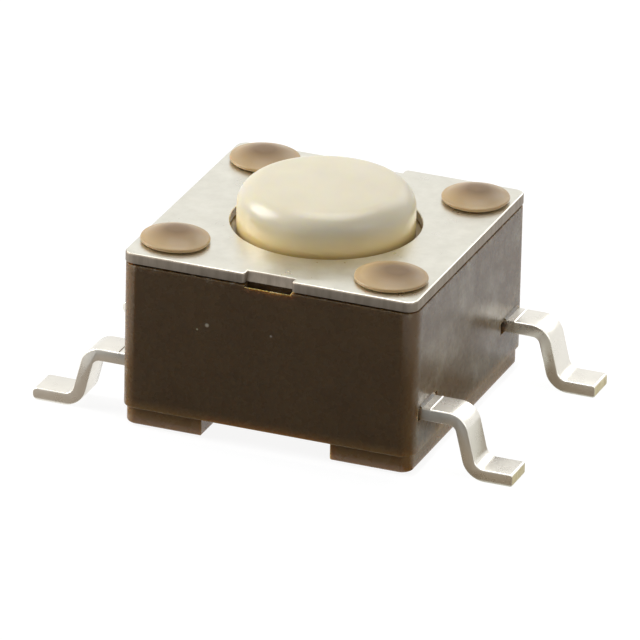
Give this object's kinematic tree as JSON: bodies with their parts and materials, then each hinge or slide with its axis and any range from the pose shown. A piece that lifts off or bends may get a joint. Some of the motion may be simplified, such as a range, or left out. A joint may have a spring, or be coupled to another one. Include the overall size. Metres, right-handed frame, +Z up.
{
  "type": "tactile push button switch",
  "caption": "Square surface-mounted tactile switch with a round button, a staked metal cover and gull-wing terminals.",
  "frame": {"origin": "on the circuit board, under the middle of the housing", "axes": "+X along the terminals, +Y towards the back row of terminals, +Z up out of the board through the button"},
  "size_m": [0.0098, 0.006, 0.0044],
  "materials": {
    "housing_plastic": "dark brown moulded thermoplastic, slightly glossy",
    "cover_steel": "thin pressed stainless sheet, satin",
    "button_plastic": "ivory moulded plastic, satin",
    "seal_rubber": "thin moulded silicone rubber",
    "dome_steel": "bright rolled spring steel",
    "lead_plating": "brass strip with bright silver plating"
  },
  "bodies": {
    "base": {"housing": "housing_plastic", "cover_plate": "cover_steel", "seal_sheet": "seal_rubber", "snap_dome": "dome_steel", "front_lead": "lead_plating", "back_lead": "lead_plating"},
    "button": {"button": "button_plastic"}
  },
  "joints": [
    {"name": "button_press", "type": "slide", "parent": "base", "child": "button", "axis": [0, 0, -1], "range_m": [0, 0.00025], "stiffness_N_per_m": 6280, "deforming": ["snap_dome", "seal_sheet"]}
  ]
}
